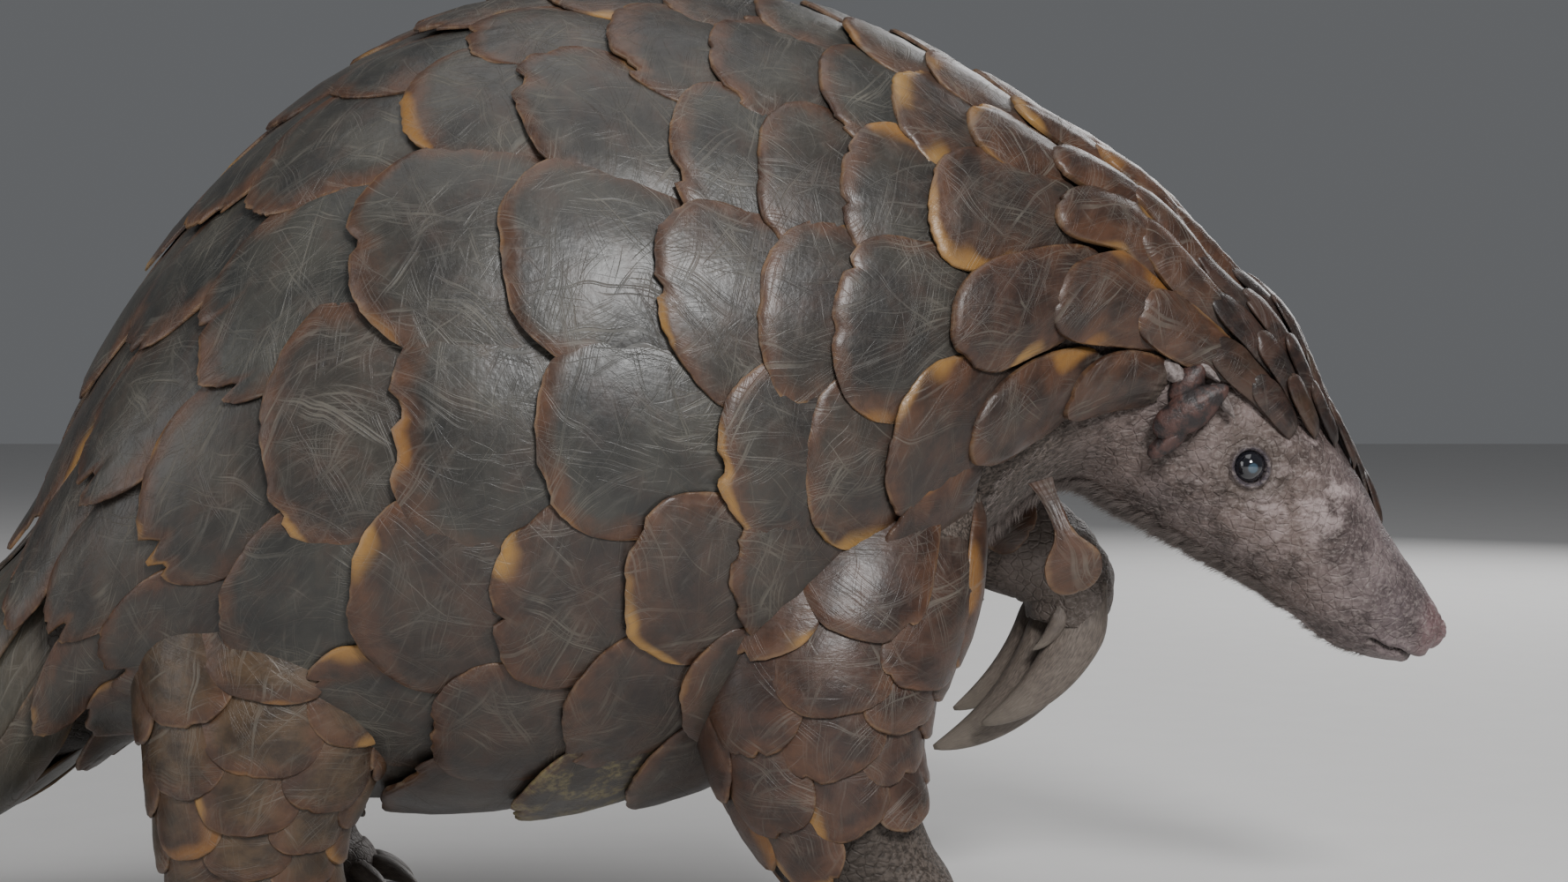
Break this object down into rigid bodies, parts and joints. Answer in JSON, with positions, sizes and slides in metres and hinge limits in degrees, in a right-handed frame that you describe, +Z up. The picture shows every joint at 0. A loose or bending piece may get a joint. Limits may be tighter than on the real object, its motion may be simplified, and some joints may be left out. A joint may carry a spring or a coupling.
{
  "type": "ground pangolin, still life-size model",
  "caption": "Life-size still model of a ground pangolin in mid-step: arched scaly back, lowered bare snout, one forefoot raised, long broad tail on the floor.",
  "frame": {"origin": "on the floor, under the middle of the whole animal's box", "axes": "+X forward, from the tail to the head; +Y to the animal's left; +Z up"},
  "size_m": [0.8222, 0.1968, 0.2674],
  "materials": {
    "scales": "horny scales, scratched and satin, olive brown with amber edges",
    "face_skin": "bare greyish pink skin with fine short hair",
    "ear_skin": "dark folded skin",
    "foot_skin": "grey brown wrinkled skin",
    "claw": "smooth grey brown horn, slightly glossy",
    "eye": "wet black eye"
  },
  "bodies": {
    "root": {"head": "face_skin", "neck": "scales", "torso": "scales", "tail_base": "scales", "tail_middle": "scales", "tail_end": "scales", "eye_right": "eye", "eye_left": "eye", "ear_right": "ear_skin", "ear_left": "ear_skin", "hind_leg_right": "scales", "hind_foot_right": "foot_skin", "hind_claw_right_1": "claw", "hind_claw_right_2": "claw", "hind_claw_right_3": "claw", "hind_claw_right_4": "claw", "hind_claw_right_5": "claw", "hind_leg_left": "scales", "hind_foot_left": "foot_skin", "hind_claw_left_1": "claw", "hind_claw_left_2": "claw", "hind_claw_left_3": "claw", "hind_claw_left_4": "claw", "hind_claw_left_5": "claw", "foreleg_right": "scales", "forefoot_right": "foot_skin", "foreclaw_right_1": "claw", "foreclaw_right_2": "claw", "foreclaw_right_3": "claw", "foreclaw_right_4": "claw", "foreclaw_right_5": "claw", "foreleg_left": "scales", "forefoot_left": "foot_skin", "foreclaw_left_1": "claw", "foreclaw_left_2": "claw", "foreclaw_left_3": "claw", "foreclaw_left_4": "claw", "foreclaw_left_5": "claw"}
  },
  "joints": []
}
